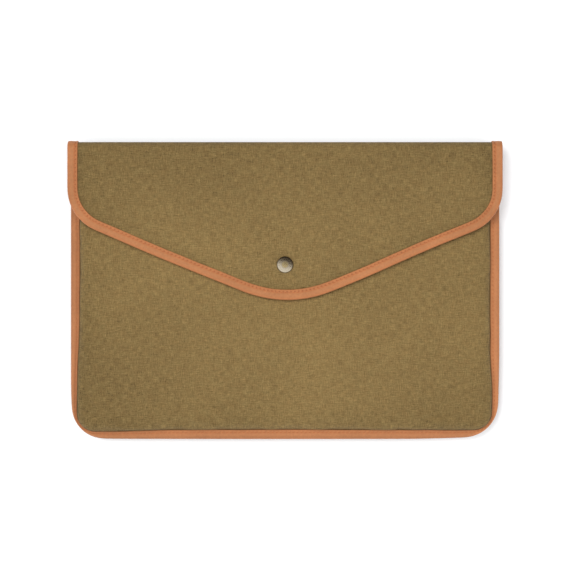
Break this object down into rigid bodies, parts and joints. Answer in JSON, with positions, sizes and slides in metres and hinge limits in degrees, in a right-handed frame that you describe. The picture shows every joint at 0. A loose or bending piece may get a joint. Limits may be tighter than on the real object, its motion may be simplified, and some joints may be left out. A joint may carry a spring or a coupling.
{
  "type": "laptop sleeve",
  "caption": "Padded canvas laptop sleeve with an envelope flap, leather-bound edges and a press snap; the flap folds open over a narrow spine.",
  "frame": {"origin": "on the ground under the middle of the sleeve as it lies on its back with the flap closed", "axes": "+X to the right across the sleeve's width seen from the front, +Y from the bottom edge towards the fold, +Z out of the front face, up from the ground"},
  "size_m": [0.345, 0.238, 0.0249],
  "materials": {
    "canvas": "washed cotton canvas",
    "lining": "fine woven lining",
    "interlining": "stiff non-woven cloth",
    "foam": "closed-cell foam padding",
    "leather": "vegetable-tanned, lightly waxed",
    "thread": "waxed polyester thread",
    "board": "leather board",
    "snap_metal": "antique, oxidised",
    "spring_metal": "spring wire"
  },
  "bodies": {
    "sleeve": {"front_canvas": "canvas", "front_foam": "foam", "front_lining": "lining", "back_canvas": "canvas", "back_foam": "foam", "back_lining": "lining", "body_binding": "leather", "body_thread": "thread", "mouth_binding": "leather", "mouth_thread": "thread", "stud_backing": "board", "snap_stud": "snap_metal", "stud_eyelet": "snap_metal"},
    "spine": {"spine_canvas": "canvas", "spine_interlining": "interlining", "spine_lining": "lining", "spine_binding": "leather"},
    "flap": {"flap_canvas": "canvas", "flap_interlining": "interlining", "flap_lining": "lining", "flap_binding": "leather", "flap_thread": "thread", "cap_backing": "board", "snap_cap": "snap_metal", "snap_socket": "snap_metal", "snap_spring": "spring_metal"}
  },
  "joints": [
    {"name": "spine_fold", "type": "hinge", "parent": "sleeve", "child": "spine", "pos_m": [0, 0.11811, 0.00259], "axis": [-1, 0, 0], "range_deg": [0, 90], "deforming": ["snap_spring"]},
    {"name": "flap_fold", "type": "hinge", "parent": "spine", "child": "flap", "pos_m": [0, 0.11703, 0.02133], "axis": [-1, 0, 0], "range_deg": [0, 90], "deforming": ["snap_spring"]}
  ]
}
